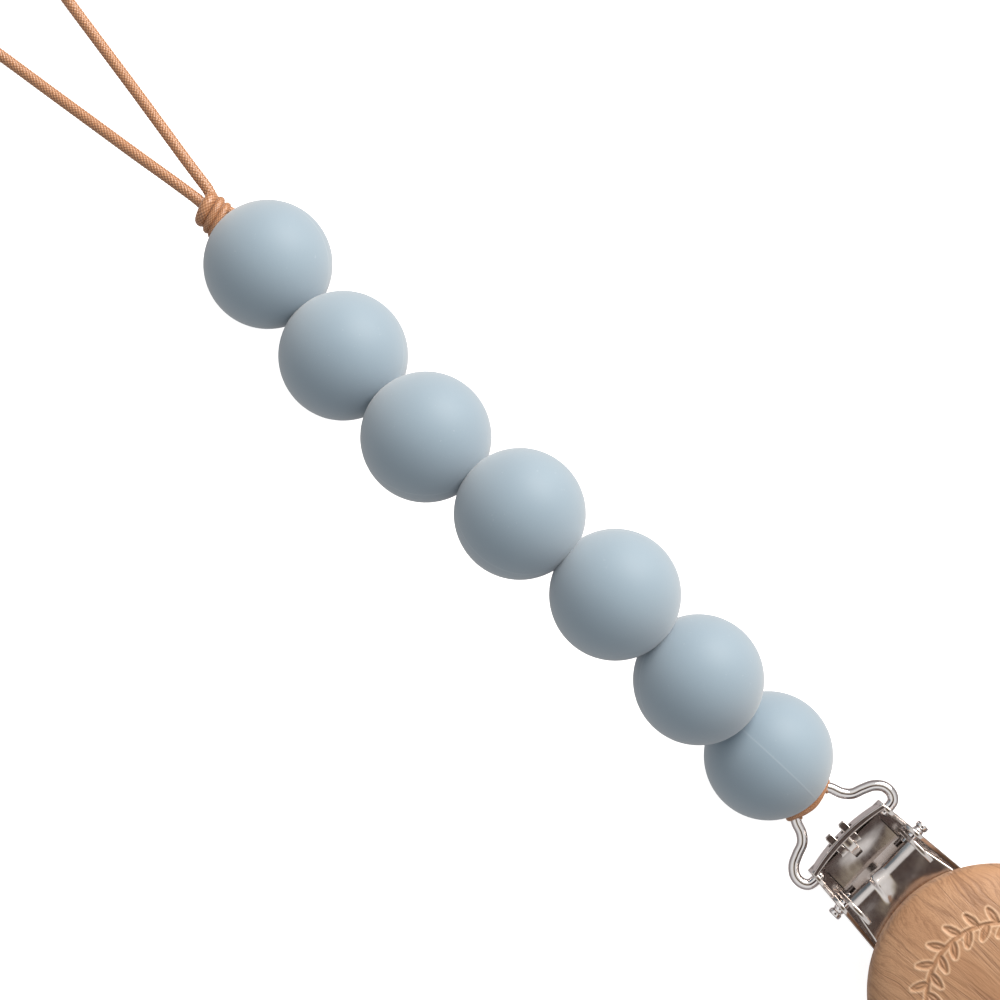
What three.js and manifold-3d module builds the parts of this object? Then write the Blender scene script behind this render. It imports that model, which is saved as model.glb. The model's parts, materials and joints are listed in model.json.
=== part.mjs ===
// Soother holder: a cord loop and knot, seven silicone beads on a doubled cord, and a
// nickel-plated cam clip with a domed beech disc. Millimetres, +Z up. +X runs from the
// loop along the chain to the clip. While it is built, X = 0 is the outer face of the
// clip's end wall and Z = 0 is the surface that the clip, the beads and the loop lie on.
import * as THREE from 'three';
import { mergeVertices } from 'three/addons/utils/BufferGeometryUtils.js';
import Module from 'manifold-3d';

const wasm = await Module();
wasm.setup();

// ---- driving dimensions ----
const GAP = 0.3;                    // clearance between neighbouring pieces
const SHEET = 0.6;                  // pressed steel of the frame and the jaw plate
const CORD_DIAMETER = 1.5;

const BEAD_RADIUS = 7.5;            // a 15 mm bead
const BEAD_REACH = 7.1;             // bead centre to the point where the string bends
const BEAD_BORE = 1.6;
const BEAD_END_SLOPE = 12;          // degrees: each end is a shallow cone, so neighbours can tilt
const BEAD_SIDES = 24;
// hole axis of each bead, loop end first: climb towards the clip and heading, in degrees
const BEAD_CLIMB = [3, 17, 18, 4, -4, -20, -35];
const BEAD_HEADING = [-6.2, -4.6, 5.6, 5.8, 3.6, -4.8, 0.8];
const LAST_BEAD = new THREE.Vector3(-13.5, 0.35, 7.5);

const STRAND_RADIUS = 0.65;         // each of the two strands, squeezed in a bore
const LINK_HALF = BEAD_REACH - 0.35;

const FRAME_LENGTH = 24.8;
const FRAME_HALF_WIDTH = 6.4;       // over the side walls, at the lever's axis
const FRAME_FLARE = 5.3;            // degrees: the side walls spread towards the jaw
const FRAME_START = 0.1;
const BASE_THICK = 0.8;
const END_WALL_HEIGHT = 4.3;
const WALL_RAIL = 2.4;              // height of the side walls beside the jaw

const FOOT_X = 1.3;                 // the wire bail's feet turn on this axis
const FOOT_Z = 2.25;
const FOOT_END_Y = 4.95;
const WIRE_RADIUS = 0.65;
const BAR_X = -5.9;
const HITCH_HALF = 2;
const HITCH_RADIUS = 1.55;

const PIVOT_X = 5.4;                // lever axis
const PIVOT_Z = 4.3;
const STUD_RADIUS = 0.7;
const STUD_END = 7.5;
const LEVER_THICK = 0.8;
const LEVER_HALF_WIDTH = 5.4;       // at the bend, between the side walls
const LEVER_WIDE_HALF = 6.2;        // where it spreads with the walls, before the disc
const RIB_Y = -0.9;
const LEVER_PLATE_Z = 6.25;         // mid-plane of the lever plate
const LEVER_END_X = 31;

const JAW_Z = 2.2;                  // mid-plane of the jaw plate at its prongs
const JAW_HALF_WIDTH = 4.5;         // at the prongs
const JAW_WIDENS_X = 9;
const JAW_TIP_HALF_WIDTH = 6;
const PRONG_PLACES = [-1.4, 0.75];
const TONGUE_Y = -0.25;
const PRONG_HALF_WIDTH = 0.5;
const JAW_STEP_X = 15.5;
const JAW_TIP_X = 23.4;
const JAW_TIP_Z = 3.5;

const DISC_RADIUS = 14.8;
const DISC_X = 24.3;
const DISC_Y = -0.4;                // the disc is fixed a little off the middle
const DISC_HEIGHT = 7.5;
const DISC_BOTTOM = LEVER_PLATE_Z + LEVER_THICK / 2 + GAP;
const RIVET_RADIUS = 1.2;
const RIVET_PLACES = [DISC_X - 6.5, DISC_X + 3.5];

const KNOT_RADIUS = 2.3;
const KNOT_LENGTH = 3.6;
const KNOT_CLIMB = 6;
const KNOT_HEADING = -2;
const KNOT_SIDE = -0.5;             // the knot sits a little to one side of the hole

// ---- materials ----
function finish(color, roughness, metalness) {
  return new THREE.MeshStandardMaterial({ color, roughness, metalness });
}
const nickel = finish(0xb9b1a8, 0.18, 1);
const beech = finish(0xc89a72, 0.55, 0);
const silicone = finish(0xa4bbcb, 0.6, 0);
const braid = finish(0xcf9a6c, 0.65, 0);
const insertPlastic = finish(0xe9e6df, 0.45, 0);

// ---- solids ----
function solidOf(geometry) {
  geometry.deleteAttribute('normal');
  geometry.deleteAttribute('uv');
  const merged = mergeVertices(geometry, 1e-4);
  const vertProperties = new Float32Array(merged.attributes.position.array);
  const triVerts = new Uint32Array(merged.index.array);
  return new wasm.Manifold(new wasm.Mesh({ numProp: 3, vertProperties, triVerts }));
}

function geometryOf(solid) {
  const mesh = solid.getMesh();
  const geometry = new THREE.BufferGeometry();
  geometry.setAttribute('position', new THREE.BufferAttribute(mesh.vertProperties, 3));
  geometry.setIndex(new THREE.BufferAttribute(mesh.triVerts, 1));
  geometry.computeVertexNormals();
  return geometry;
}

function box(x0, x1, y0, y1, z0, z1) {
  const geometry = new THREE.BoxGeometry(x1 - x0, y1 - y0, z1 - z0);
  geometry.translate((x0 + x1) / 2, (y0 + y1) / 2, (z0 + z1) / 2);
  return solidOf(geometry);
}

// a rod along Y between two places
function rodY(radius, x, z, y0, y1, sides = 20) {
  const geometry = new THREE.CylinderGeometry(radius, radius, y1 - y0, sides);
  geometry.translate(x, (y0 + y1) / 2, z);
  return solidOf(geometry);
}

// an outline in the XZ plane, extruded from y0 to y1
function sidePlateGeometry(shape, y0, y1, curveSegments = 6) {
  const depth = y1 - y0;
  const geometry = new THREE.ExtrudeGeometry(shape, { depth, bevelEnabled: false, curveSegments });
  geometry.rotateX(Math.PI / 2);
  geometry.translate(0, y1, 0);
  return geometry;
}

function sidePlate(shape, y0, y1) {
  return solidOf(sidePlateGeometry(shape, y0, y1));
}

// an outline in the XY plane, made solid from z0 to z1
function flatPlate(shape, z0, z1, curveSegments = 6) {
  const depth = z1 - z0;
  const geometry = new THREE.ExtrudeGeometry(shape, { depth, bevelEnabled: false, curveSegments });
  geometry.translate(0, 0, z0);
  return solidOf(geometry);
}

// a strip of bent sheet: its mid-line in the XZ plane, given thickness and width
function bentStrip(midline, thickness, halfWidth) {
  const left = [];
  const right = [];
  midline.forEach((point, i) => {
    const before = midline[Math.max(i - 1, 0)];
    const after = midline[Math.min(i + 1, midline.length - 1)];
    const along = after.clone().sub(before).normalize();
    const out = new THREE.Vector2(-along.y, along.x).multiplyScalar(thickness / 2);
    left.push(point.clone().add(out));
    right.push(point.clone().sub(out));
  });
  const shape = new THREE.Shape([...right, ...left.reverse()]);
  return sidePlate(shape, -halfWidth, halfWidth);
}

// points on an arc in the XZ plane, angles in degrees
function arc(x, z, radius, from, to, steps) {
  const points = [];
  for (let i = 0; i <= steps; i += 1) {
    const angle = THREE.MathUtils.degToRad(from + ((to - from) * i) / steps);
    points.push(new THREE.Vector2(x + radius * Math.cos(angle), z + radius * Math.sin(angle)));
  }
  return points;
}

function union(solids) {
  return solids.reduce((whole, next) => whole.add(next));
}

// a round bar or cord along a smooth route
function roundAlong(points, radius, sides, steps) {
  const section = new THREE.Shape();
  for (let i = 0; i < sides; i += 1) {
    const angle = (2 * Math.PI * i) / sides;
    const corner = [radius * Math.cos(angle), radius * Math.sin(angle)];
    if (i === 0) {
      section.moveTo(...corner);
    } else {
      section.lineTo(...corner);
    }
  }
  section.closePath();
  const route = new THREE.CatmullRomCurve3(points, false, 'centripetal');
  return new THREE.ExtrudeGeometry(section, { steps, extrudePath: route, bevelEnabled: false });
}

// ---- clip frame ----
function sideWallOutline() {
  const shape = new THREE.Shape();
  shape.moveTo(FRAME_START, 0);
  shape.absarc(FOOT_X, FOOT_Z, 2.0, Math.PI * 0.705, Math.PI * 0.28, true);
  shape.lineTo(PIVOT_X - 1.75, PIVOT_Z - 0.7);
  shape.absarc(PIVOT_X, PIVOT_Z, 1.9, Math.PI, Math.PI * 0.3, true);
  shape.lineTo(12.5, WALL_RAIL + 0.4);
  shape.lineTo(FRAME_LENGTH - 4, WALL_RAIL);
  shape.lineTo(FRAME_LENGTH - 2.2, 0);
  shape.closePath();
  return shape;
}

// half the width over the flared side walls
function frameHalfWidth(x) {
  return FRAME_HALF_WIDTH + (x - PIVOT_X) * Math.tan(THREE.MathUtils.degToRad(FRAME_FLARE));
}

function basePlateOutline() {
  const shape = new THREE.Shape();
  const end = FRAME_LENGTH;
  const corner = 3;
  const startHalf = frameHalfWidth(FRAME_START);
  const endHalf = frameHalfWidth(end - corner);
  shape.moveTo(FRAME_START, -startHalf);
  shape.lineTo(end - corner, -endHalf);
  shape.absarc(end - corner, -endHalf + corner, corner, -Math.PI / 2, 0, false);
  shape.lineTo(end, endHalf - corner);
  shape.absarc(end - corner, endHalf - corner, corner, 0, Math.PI / 2, false);
  shape.lineTo(FRAME_START, startHalf);
  shape.closePath();
  return shape;
}

// a side wall turned outwards about the lever's axis
function sideWall(side) {
  const outer = side * FRAME_HALF_WIDTH;
  const inner = side * (FRAME_HALF_WIDTH - SHEET);
  const y0 = Math.min(outer, inner);
  const geometry = sidePlateGeometry(sideWallOutline(), y0, y0 + SHEET);
  geometry.translate(-PIVOT_X, -outer, 0);
  geometry.rotateZ(side * THREE.MathUtils.degToRad(FRAME_FLARE));
  geometry.translate(PIVOT_X, outer, 0);
  return solidOf(geometry);
}

// the end wall bows a little towards the beads
function endWallOutline() {
  const half = frameHalfWidth(FRAME_START) - 0.05;
  const shape = new THREE.Shape();
  shape.moveTo(0.35, -half);
  shape.quadraticCurveTo(-1.2, 0, 0.35, half);
  shape.lineTo(0.35 + SHEET, half);
  shape.quadraticCurveTo(-1.0 + SHEET, 0, 0.35 + SHEET, -half);
  shape.closePath();
  return shape;
}

function clipFrame() {
  const lipHalf = frameHalfWidth(FRAME_LENGTH) - 3.3;
  const jawLip = box(FRAME_LENGTH - SHEET, FRAME_LENGTH, -lipHalf, lipHalf, 0, 1.9);
  const tongueLine = [new THREE.Vector2(0, 3.95), ...arc(0.95, 2.1, 1.85, 90, 30, 5)];
  const tongue = bentStrip(tongueLine, 0.45, 0.55).translate([0, TONGUE_Y, 0]);
  let frame = union([
    flatPlate(basePlateOutline(), 0, BASE_THICK),
    flatPlate(endWallOutline(), 0, END_WALL_HEIGHT),
    sideWall(-1),
    sideWall(1),
    tongue,
    jawLip,
  ]);
  for (const y of PRONG_PLACES) {
    const half = PRONG_HALF_WIDTH + GAP;
    frame = frame.subtract(box(-1, 1.1, y - half, y + half, JAW_Z - 0.75, JAW_Z + 0.75));
  }
  for (const side of [-1, 1]) {
    const outer = side * (FRAME_HALF_WIDTH + 1);
    const from = Math.min(outer, side * FOOT_END_Y - side * GAP);
    const to = Math.max(outer, side * FOOT_END_Y - side * GAP);
    frame = frame.subtract(rodY(WIRE_RADIUS + GAP, FOOT_X, FOOT_Z, from, to));
    frame = frame.subtract(rodY(STUD_RADIUS + GAP, PIVOT_X, PIVOT_Z, from, to));
  }
  return geometryOf(frame);
}

// ---- lever, its studs and the disc's rivets ----
function earOutline() {
  const shape = new THREE.Shape();
  shape.moveTo(PIVOT_X + 4.2, LEVER_PLATE_Z);
  shape.lineTo(PIVOT_X + 3.6, LEVER_PLATE_Z - 1.0);
  shape.lineTo(PIVOT_X + 1.3, PIVOT_Z - 0.55);
  shape.absarc(PIVOT_X, PIVOT_Z, 1.4, -Math.PI * 0.15, -Math.PI, true);
  shape.lineTo(PIVOT_X - 0.7, LEVER_PLATE_Z - 0.8);
  shape.lineTo(PIVOT_X + 1, LEVER_PLATE_Z);
  shape.closePath();
  return shape;
}

// the lever seen from above: it spreads with the side walls and its free end is round
function leverPlan() {
  const narrow = LEVER_HALF_WIDTH;
  const wide = LEVER_WIDE_HALF;
  const shape = new THREE.Shape();
  shape.moveTo(2, -narrow);
  shape.lineTo(7, -narrow);
  shape.lineTo(11, -wide);
  shape.lineTo(13, -wide);
  shape.lineTo(16, -narrow);
  shape.absarc(LEVER_END_X - narrow, 0, narrow, -Math.PI / 2, Math.PI / 2);
  shape.lineTo(16, narrow);
  shape.lineTo(13, wide);
  shape.lineTo(11, wide);
  shape.lineTo(7, narrow);
  shape.lineTo(2, narrow);
  shape.closePath();
  return flatPlate(shape, 0, 9, 12);
}

function leverPlate() {
  const bend = arc(PIVOT_X + 1.3, LEVER_PLATE_Z - 1.3, 1.3, 154, 90, 6);
  const foot = new THREE.Vector2(PIVOT_X - 0.7, PIVOT_Z - 0.95);
  const tip = new THREE.Vector2(LEVER_END_X, LEVER_PLATE_Z);
  let lever = bentStrip([foot, ...bend, tip], LEVER_THICK, LEVER_WIDE_HALF);
  lever = lever.intersect(leverPlan());
  // raised rib that stiffens the bend
  const rib = bentStrip(
    arc(PIVOT_X + 1.9, LEVER_PLATE_Z - 1.5, 2.15, 160, 62, 7), 0.5, 0.7);
  lever = lever.add(rib.translate([0, RIB_Y, 0]));
  for (const side of [-1, 1]) {
    const y0 = side > 0 ? LEVER_HALF_WIDTH - SHEET : -LEVER_HALF_WIDTH;
    lever = lever.add(sidePlate(earOutline(), y0, y0 + SHEET));
    const from = side > 0 ? LEVER_HALF_WIDTH - 2 : -LEVER_HALF_WIDTH - 1;
    lever = lever.subtract(rodY(STUD_RADIUS + GAP, PIVOT_X, PIVOT_Z, from, from + 3));
  }
  for (const x of RIVET_PLACES) {
    const hole = new THREE.CylinderGeometry(RIVET_RADIUS + GAP, RIVET_RADIUS + GAP, 3, 20);
    hole.rotateX(Math.PI / 2);
    hole.translate(x, 0, LEVER_PLATE_Z);
    lever = lever.subtract(solidOf(hole));
  }
  return geometryOf(lever);
}

// turned along Y: shank through the ear and the wall, with a head outside
function pivotStud(side) {
  const inner = LEVER_HALF_WIDTH - 1.1;
  const head = FRAME_HALF_WIDTH + GAP;
  const profile = [
    [0, inner], [STUD_RADIUS, inner], [STUD_RADIUS, STUD_END - 0.25],
    [STUD_RADIUS - 0.3, STUD_END], [0, STUD_END],
  ];
  const collar = rodY(STUD_RADIUS + 0.35, 0, 0, head, head + 0.35, 16);
  const outline = profile.map(([r, y]) => new THREE.Vector2(r, y));
  let stud = solidOf(new THREE.LatheGeometry(outline, 16));
  stud = stud.add(collar);
  const geometry = geometryOf(stud);
  if (side < 0) {
    geometry.rotateZ(Math.PI);
  }
  geometry.translate(PIVOT_X, 0, PIVOT_Z);
  return geometry;
}

// a flush shank with a low head under the lever plate
function discRivet(x) {
  const plateUnder = LEVER_PLATE_Z - LEVER_THICK / 2;
  const headTop = plateUnder - GAP;
  const outline = [
    [0, headTop - 0.7], [1.4, headTop - 0.55], [1.9, headTop], [RIVET_RADIUS, headTop],
    [RIVET_RADIUS, DISC_BOTTOM + 2.5], [0, DISC_BOTTOM + 2.5],
  ].map(([r, z]) => new THREE.Vector2(r, z));
  const geometry = new THREE.LatheGeometry(outline, 18);
  geometry.rotateX(Math.PI / 2);
  geometry.translate(x, 0, 0);
  return geometryOf(solidOf(geometry));
}

// ---- wooden disc: flat underside, small lower chamfer, low dome with a soft rim ----
function woodDisc() {
  const rimHeight = 2.6;
  const domeRise = DISC_HEIGHT - rimHeight;
  const outline = [
    new THREE.Vector2(0, 0),
    new THREE.Vector2(DISC_RADIUS - 0.7, 0),
    new THREE.Vector2(DISC_RADIUS, 0.7),
  ];
  const steps = 12;
  for (let i = 0; i <= steps; i += 1) {
    const angle = (Math.PI / 2) * (i / steps);
    const radius = DISC_RADIUS * Math.cos(angle) ** 0.85;
    outline.push(new THREE.Vector2(i === steps ? 0 : radius, rimHeight + domeRise * Math.sin(angle)));
  }
  const geometry = new THREE.LatheGeometry(outline, 48);
  geometry.rotateX(Math.PI / 2);
  geometry.translate(DISC_X, DISC_Y, DISC_BOTTOM);
  let disc = solidOf(geometry);
  for (const x of RIVET_PLACES) {
    const radius = RIVET_RADIUS + GAP;
    const hole = new THREE.CylinderGeometry(radius, radius, 2 * (2.5 + GAP), 20);
    hole.rotateX(Math.PI / 2);
    hole.translate(x, 0, DISC_BOTTOM);
    disc = disc.subtract(solidOf(hole));
  }
  return geometryOf(disc);
}

// ---- jaw plate with two prongs in the end wall, and its gripping insert ----
// the jaw seen from above: narrow between the lever's ears, wider towards the tip
function jawPlan(inset) {
  const shape = new THREE.Shape();
  shape.moveTo(0, -JAW_HALF_WIDTH + inset);
  shape.lineTo(JAW_WIDENS_X, -JAW_HALF_WIDTH + inset);
  shape.lineTo(JAW_TIP_X + 1, -JAW_TIP_HALF_WIDTH + inset);
  shape.lineTo(JAW_TIP_X + 1, JAW_TIP_HALF_WIDTH - inset);
  shape.lineTo(JAW_WIDENS_X, JAW_HALF_WIDTH - inset);
  shape.lineTo(0, JAW_HALF_WIDTH - inset);
  shape.closePath();
  return flatPlate(shape, -1, 8);
}

function jawPlate() {
  const midline = [
    new THREE.Vector2(1.0, JAW_Z),
    new THREE.Vector2(JAW_STEP_X, JAW_Z),
    new THREE.Vector2(JAW_STEP_X + 1.6, JAW_TIP_Z),
    new THREE.Vector2(JAW_TIP_X, JAW_TIP_Z),
  ];
  let jaw = bentStrip(midline, SHEET, JAW_TIP_HALF_WIDTH).intersect(jawPlan(0));
  for (const y of PRONG_PLACES) {
    const prong = box(
      -1.4, 1.6, y - PRONG_HALF_WIDTH, y + PRONG_HALF_WIDTH, JAW_Z - SHEET / 2, JAW_Z + SHEET / 2);
    jaw = jaw.add(prong);
  }
  return geometryOf(jaw);
}

function jawInsert() {
  const top = JAW_TIP_Z - SHEET / 2 - GAP;
  const bottom = BASE_THICK + GAP;
  const start = JAW_STEP_X + 2.2;
  const shape = new THREE.Shape();
  shape.moveTo(start, top);
  shape.lineTo(start, bottom + 0.5);
  const teeth = 4;
  const pitch = (JAW_TIP_X - start) / teeth;
  for (let i = 0; i < teeth; i += 1) {
    shape.lineTo(start + (i + 0.5) * pitch, bottom);
    shape.lineTo(start + (i + 1) * pitch, bottom + 0.5);
  }
  shape.lineTo(JAW_TIP_X, top);
  shape.closePath();
  const block = sidePlate(shape, -JAW_TIP_HALF_WIDTH, JAW_TIP_HALF_WIDTH);
  return geometryOf(block.intersect(jawPlan(0.2)));
}

// ---- wire bail and the cord hitched round its bar ----
function wireBail() {
  const half = [
    [BAR_X, 0], [BAR_X, 1.0], [BAR_X, 1.8], [BAR_X + 0.22, 2.4], [-5.05, 2.85], [-3.75, 3.35],
    [-2.85, 4.15], [-2.35, 5.4], [-1.75, 6.6], [-0.75, 7.4], [0.4, 7.45], [1.1, 7.0],
    [FOOT_X, 6.4], [FOOT_X, 5.6], [FOOT_X, FOOT_END_Y],
  ];
  const left = half.map(([x, y]) => new THREE.Vector3(x, -y, FOOT_Z)).reverse();
  const right = half.slice(1).map(([x, y]) => new THREE.Vector3(x, y, FOOT_Z));
  return roundAlong([...left, ...right], WIRE_RADIUS, 10, 56);
}

function cordHitch() {
  const wraps = 4;
  const pitch = (2 * HITCH_HALF) / wraps;
  const bore = WIRE_RADIUS + GAP;
  const outline = [new THREE.Vector2(bore, -HITCH_HALF)];
  for (let i = 0; i < wraps; i += 1) {
    const start = -HITCH_HALF + i * pitch;
    outline.push(new THREE.Vector2(HITCH_RADIUS - 0.3, start + 0.02));
    outline.push(new THREE.Vector2(HITCH_RADIUS, start + pitch * 0.3));
    outline.push(new THREE.Vector2(HITCH_RADIUS, start + pitch * 0.7));
  }
  outline.push(new THREE.Vector2(HITCH_RADIUS - 0.3, HITCH_HALF - 0.02));
  outline.push(new THREE.Vector2(bore, HITCH_HALF));
  outline.push(outline[0].clone());
  const geometry = new THREE.LatheGeometry(outline, 18);
  geometry.translate(BAR_X, 0, FOOT_Z);
  return geometryOf(solidOf(geometry));
}

// ---- beads and the doubled cord inside them ----
function beadGeometry() {
  const slope = Math.tan(THREE.MathUtils.degToRad(BEAD_END_SLOPE));
  const clear = 0.08;
  const coneHeight = (r) => BEAD_REACH - clear - r * slope;
  // the radius where the cone meets the sphere
  const a = 1 + slope * slope;
  const b = -2 * slope * (BEAD_REACH - clear);
  const c = (BEAD_REACH - clear) ** 2 - BEAD_RADIUS ** 2;
  const edge = (-b + Math.sqrt(b * b - 4 * a * c)) / (2 * a);
  const edgeAngle = Math.asin(edge / BEAD_RADIUS);
  const outline = [];
  const steps = 11;
  outline.push(new THREE.Vector2(BEAD_BORE, -coneHeight(BEAD_BORE)));
  for (let i = 0; i <= steps; i += 1) {
    const angle = edgeAngle + ((Math.PI - 2 * edgeAngle) * i) / steps;
    outline.push(new THREE.Vector2(
      BEAD_RADIUS * Math.sin(angle), -BEAD_RADIUS * Math.cos(angle)));
  }
  outline.push(new THREE.Vector2(BEAD_BORE, coneHeight(BEAD_BORE)));
  outline.push(outline[0].clone());
  const geometry = new THREE.LatheGeometry(outline, BEAD_SIDES);
  geometry.rotateZ(-Math.PI / 2);
  return geometryOf(solidOf(geometry));
}

function linkGeometry() {
  const r = STRAND_RADIUS;
  const section = new THREE.Shape();
  section.moveTo(-r, -r);
  section.lineTo(r, -r);
  section.absarc(r, 0, r, -Math.PI / 2, Math.PI / 2, false);
  section.lineTo(-r, r);
  section.absarc(-r, 0, r, Math.PI / 2, 1.5 * Math.PI, false);
  const depth = 2 * LINK_HALF;
  const geometry = new THREE.ExtrudeGeometry(section, { depth, bevelEnabled: false, curveSegments: 6 });
  geometry.translate(0, 0, -LINK_HALF);
  geometry.rotateY(Math.PI / 2);
  return geometryOf(solidOf(geometry));
}

function direction(climbDegrees, headingDegrees) {
  const climb = THREE.MathUtils.degToRad(climbDegrees);
  const heading = THREE.MathUtils.degToRad(headingDegrees);
  return new THREE.Vector3(
    Math.cos(climb) * Math.cos(heading),
    Math.cos(climb) * Math.sin(heading),
    Math.sin(climb),
  );
}

function holeAxis(i) {
  return direction(BEAD_CLIMB[i], BEAD_HEADING[i]);
}

// each centre follows from the next one, because neighbours meet at the bending points
function beadCentres() {
  const centres = [];
  const last = BEAD_CLIMB.length - 1;
  centres[last] = LAST_BEAD.clone();
  for (let i = last - 1; i >= 0; i -= 1) {
    const step = holeAxis(i).add(holeAxis(i + 1)).multiplyScalar(BEAD_REACH);
    centres[i] = centres[i + 1].clone().sub(step);
  }
  return centres;
}

// ---- knot and loop ----
function knotGeometry() {
  const wraps = 3;
  const pitch = KNOT_LENGTH / wraps;
  const outline = [new THREE.Vector2(0, -KNOT_LENGTH / 2)];
  for (let i = 0; i < wraps; i += 1) {
    const start = -KNOT_LENGTH / 2 + i * pitch;
    outline.push(new THREE.Vector2(KNOT_RADIUS - 0.5, start + 0.02));
    outline.push(new THREE.Vector2(KNOT_RADIUS, start + pitch * 0.3));
    outline.push(new THREE.Vector2(KNOT_RADIUS, start + pitch * 0.7));
  }
  outline.push(new THREE.Vector2(KNOT_RADIUS - 0.5, KNOT_LENGTH / 2 - 0.02));
  outline.push(new THREE.Vector2(0, KNOT_LENGTH / 2));
  const geometry = new THREE.LatheGeometry(outline, 16);
  geometry.rotateZ(-Math.PI / 2);
  return geometryOf(solidOf(geometry));
}

// the loop's route relative to the knot's outer end: out along one side, round the tip and
// back along the other, sinking to the surface a third of the way along
const LOOP_ROUTE = [
  [-0.35, -0.85, -0.1], [-4, -1.4, -0.5], [-9, -2.2, -1.5], [-15, -3.1, -3.1],
  [-22, -4.15, -4.8], [-30, -5.35, -5.7], [-39, -6.9, -6], [-48, -8.5, -6],
  [-55.5, -8.9, -6], [-61.5, -6.4, -6], [-64.3, -0.5, -6], [-62.2, 5.5, -6],
  [-56.5, 8.7, -6], [-48, 8.6, -6], [-39, 6.9, -6], [-30, 5.2, -5.7],
  [-22, 4.0, -4.8], [-15, 3.0, -3.1], [-9, 2.1, -1.5], [-4, 1.35, -0.5],
  [-0.35, 0.85, -0.1],
];

function loopGeometry(knotEnd) {
  const floor = CORD_DIAMETER / 2 + 0.02;
  const points = LOOP_ROUTE.map(([x, y, z]) => {
    const height = Math.max(knotEnd.z + z, floor);
    return new THREE.Vector3(knotEnd.x + x, knotEnd.y + y, height);
  });
  return roundAlong(points, CORD_DIAMETER / 2, 8, 52);
}

// ---- assembly ----
const group = new THREE.Group();
const freeCord = new Set();

function place(name, geometry, material, parent = group) {
  const mesh = new THREE.Mesh(geometry, material);
  mesh.name = name;
  parent.add(mesh);
  return mesh;
}

place('clip_frame', clipFrame(), nickel);
place('jaw_plate', jawPlate(), nickel);
place('jaw_insert', jawInsert(), insertPlastic);
place('lever_plate', leverPlate(), nickel);
place('pivot_stud_left', pivotStud(-1), nickel);
place('pivot_stud_right', pivotStud(1), nickel);
RIVET_PLACES.forEach((x, i) => place(`disc_rivet_${i + 1}`, discRivet(x), nickel));
place('wood_disc', woodDisc(), beech);
place('wire_bail', wireBail(), nickel);
place('cord_hitch', cordHitch(), braid);

const centres = beadCentres();
const alongX = new THREE.Vector3(1, 0, 0);
centres.forEach((centre, i) => {
  const station = new THREE.Group();
  station.position.copy(centre);
  station.quaternion.setFromUnitVectors(alongX, holeAxis(i));
  group.add(station);
  place(`bead_${i + 1}`, beadGeometry(), silicone, station);
  place(`cord_link_${i + 1}`, linkGeometry(), braid, station);
});

const knotStation = new THREE.Group();
const knotAxis = direction(KNOT_CLIMB, KNOT_HEADING);
knotStation.position.copy(centres[0]).addScaledVector(holeAxis(0), -BEAD_REACH);
knotStation.position.addScaledVector(knotAxis, -GAP - KNOT_LENGTH / 2);
knotStation.position.y += KNOT_SIDE;
knotStation.quaternion.setFromUnitVectors(alongX, knotAxis);
group.add(knotStation);
freeCord.add(place('loop_knot', knotGeometry(), braid, knotStation));

const knotEnd = knotStation.position.clone().addScaledVector(knotAxis, -KNOT_LENGTH / 2);
freeCord.add(place('cord_loop', loopGeometry(knotEnd), braid));

// the origin: under the middle of everything but the free cord, on the surface it lies on
const extent = new THREE.Box3();
group.updateMatrixWorld(true);
group.traverse((item) => {
  if (item.isMesh && !freeCord.has(item)) {
    extent.union(new THREE.Box3().setFromObject(item, true));
  }
});
const middle = extent.getCenter(new THREE.Vector3());
group.position.set(-middle.x, -middle.y, -extent.min.z);

export default group;
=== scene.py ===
"""Soother holder: braided cord loop and knot, seven silicone beads, a wire bail and a
nickel-plated cam clip with a domed beech disc. Lengths are worked out in millimetres in
the row frame and written to Blender in metres."""

import json
import math

import bpy
import numpy as np
from mathutils import Matrix, Vector


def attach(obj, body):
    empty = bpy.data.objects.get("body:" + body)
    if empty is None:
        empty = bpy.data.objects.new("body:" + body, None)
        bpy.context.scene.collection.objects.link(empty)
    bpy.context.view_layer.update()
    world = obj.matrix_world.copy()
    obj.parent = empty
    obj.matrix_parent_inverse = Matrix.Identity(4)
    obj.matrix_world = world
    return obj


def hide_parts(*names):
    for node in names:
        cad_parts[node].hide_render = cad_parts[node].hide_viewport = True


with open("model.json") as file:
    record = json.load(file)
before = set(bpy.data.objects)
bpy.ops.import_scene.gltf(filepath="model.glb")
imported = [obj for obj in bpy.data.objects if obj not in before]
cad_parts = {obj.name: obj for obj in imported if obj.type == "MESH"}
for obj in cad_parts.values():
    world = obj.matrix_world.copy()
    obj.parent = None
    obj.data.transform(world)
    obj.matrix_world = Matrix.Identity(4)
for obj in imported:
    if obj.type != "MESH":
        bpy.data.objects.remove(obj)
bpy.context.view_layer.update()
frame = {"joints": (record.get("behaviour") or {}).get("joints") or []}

MM = 0.001
TAU = 2 * math.pi
JOINTS = {joint["name"]: joint for joint in frame["joints"]}


def joint_place(name):
    return np.array(JOINTS[name]["pos_m"]) / MM


# the driving dimensions of part.mjs that the finer shapes follow
GAP = 0.3
SHEET = 0.6
CORD_RADIUS = 0.75
LOOP_RADIUS = 0.70          # the braid is drawn a little thinner than the CAD's cord
BEAD_RADIUS = 7.5
BEAD_REACH = 7.1
BEAD_COUNT = 7
PIVOT = (5.4, 4.3)
FOOT = (1.3, 2.25)
FOOT_END_Y = 4.95
WIRE_RADIUS = 0.65
BAR_X = -5.9
FRAME_LENGTH = 24.8
FRAME_HALF = 6.4
FLARE = math.radians(5.3)
LEVER_HALF = 5.4
LEVER_WIDE = ((7.0, 5.4), (11.0, 6.2), (13.0, 6.2), (16.0, 5.4))    # (x, half width)
LEVER_THICK = 0.8
LEVER_PLATE_Z = 6.25
LEVER_END_X = 31.0
JAW_Z = 2.2
JAW_HALF = 4.5
PRONG_PLACES = (-1.4, 0.75)
TONGUE_Y = -0.25
JAW_TIP_HALF = 6.0
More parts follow.
